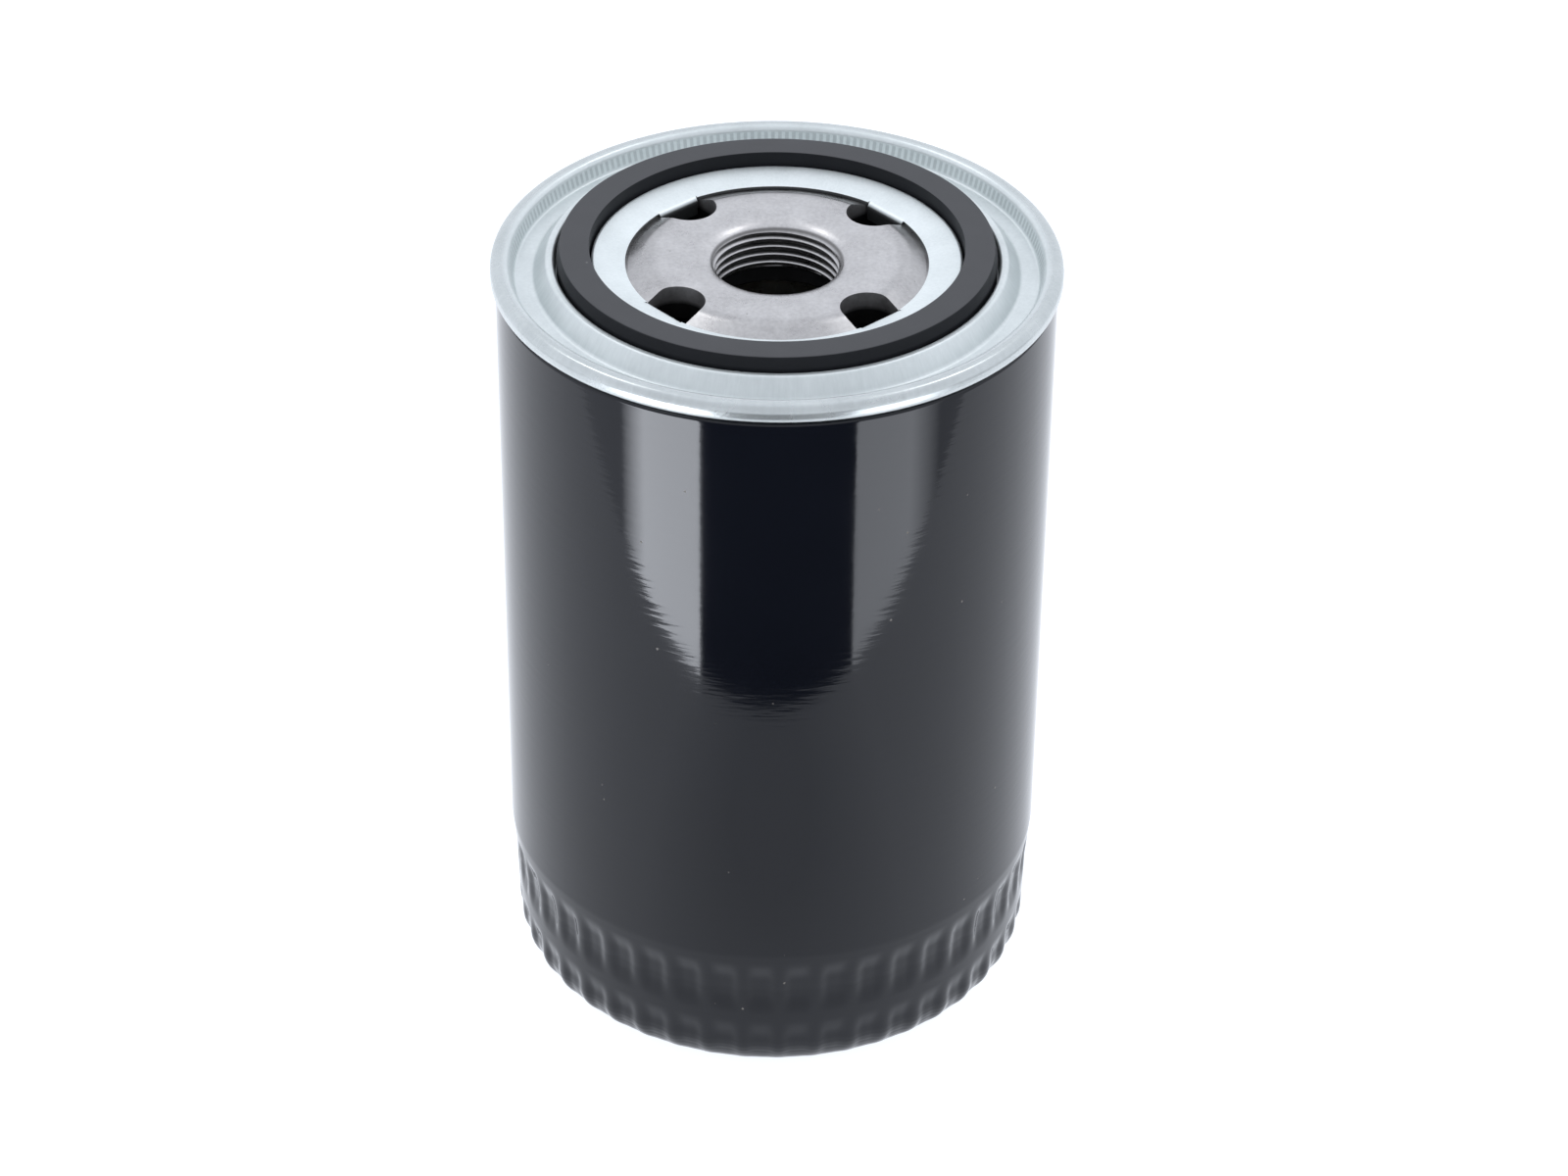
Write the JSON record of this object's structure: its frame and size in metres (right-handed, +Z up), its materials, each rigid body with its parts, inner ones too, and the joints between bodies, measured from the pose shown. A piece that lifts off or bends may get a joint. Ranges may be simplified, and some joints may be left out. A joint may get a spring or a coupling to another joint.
{
  "type": "spin-on oil filter",
  "caption": "Spin-on engine oil filter: black fluted can, zinc lid with rolled seam, square-cut gasket, threaded plate with inlet slots, pleated element and spring-loaded bypass valve.",
  "frame": {"origin": "centre of the can's base, on the surface it stands on", "axes": "+Z up the filter's axis to the sealing gasket; +X to the right and -Y towards the viewer of the reference view"},
  "size_m": [0.0948, 0.0948, 0.1406],
  "materials": {
    "can_paint": "gloss black enamel on drawn steel",
    "zinc_lid": "bright zinc plate with a blue-white passivation",
    "seam_compound": "matte sealing compound",
    "plate_steel": "bare pressed steel, lightly oiled",
    "gasket_rubber": "matte nitrile rubber",
    "valve_rubber": "moulded black nitrile rubber",
    "tinplate": "tin-plated pressed steel",
    "adhesive": "cured plastisol",
    "filter_paper": "resin-impregnated filter paper",
    "spring_steel": "oil-blackened spring wire"
  },
  "bodies": {
    "housing": {"can_shell": "can_paint", "seaming_lid": "zinc_lid", "seam_compound": "seam_compound", "thread_plate": "plate_steel", "sealing_gasket": "gasket_rubber", "anti_drain_valve": "valve_rubber", "support_spring": "spring_steel"},
    "element": {"top_end_cap": "tinplate", "bottom_end_cap": "tinplate", "top_adhesive": "adhesive", "bottom_adhesive": "adhesive", "pleated_media": "filter_paper", "media_seam_clip": "tinplate", "center_tube": "tinplate", "spring_cup": "tinplate", "bypass_seat": "tinplate", "bypass_cage": "tinplate", "bypass_spring": "spring_steel"},
    "bypass_valve": {"bypass_seal": "valve_rubber", "bypass_disc": "plate_steel", "bypass_stem": "plate_steel"}
  },
  "joints": [
    {"name": "element_float", "type": "slide", "parent": "housing", "child": "element", "axis": [0, 0, 1], "range_m": [-0.0025, 0], "stiffness_N_per_m": 5000, "springref_m": 0.008, "deforming": ["support_spring"]},
    {"name": "bypass_lift", "type": "slide", "parent": "element", "child": "bypass_valve", "axis": [0, 0, 1], "range_m": [0, 0.003], "stiffness_N_per_m": 7000, "springref_m": -0.0072, "deforming": ["bypass_spring"]}
  ]
}
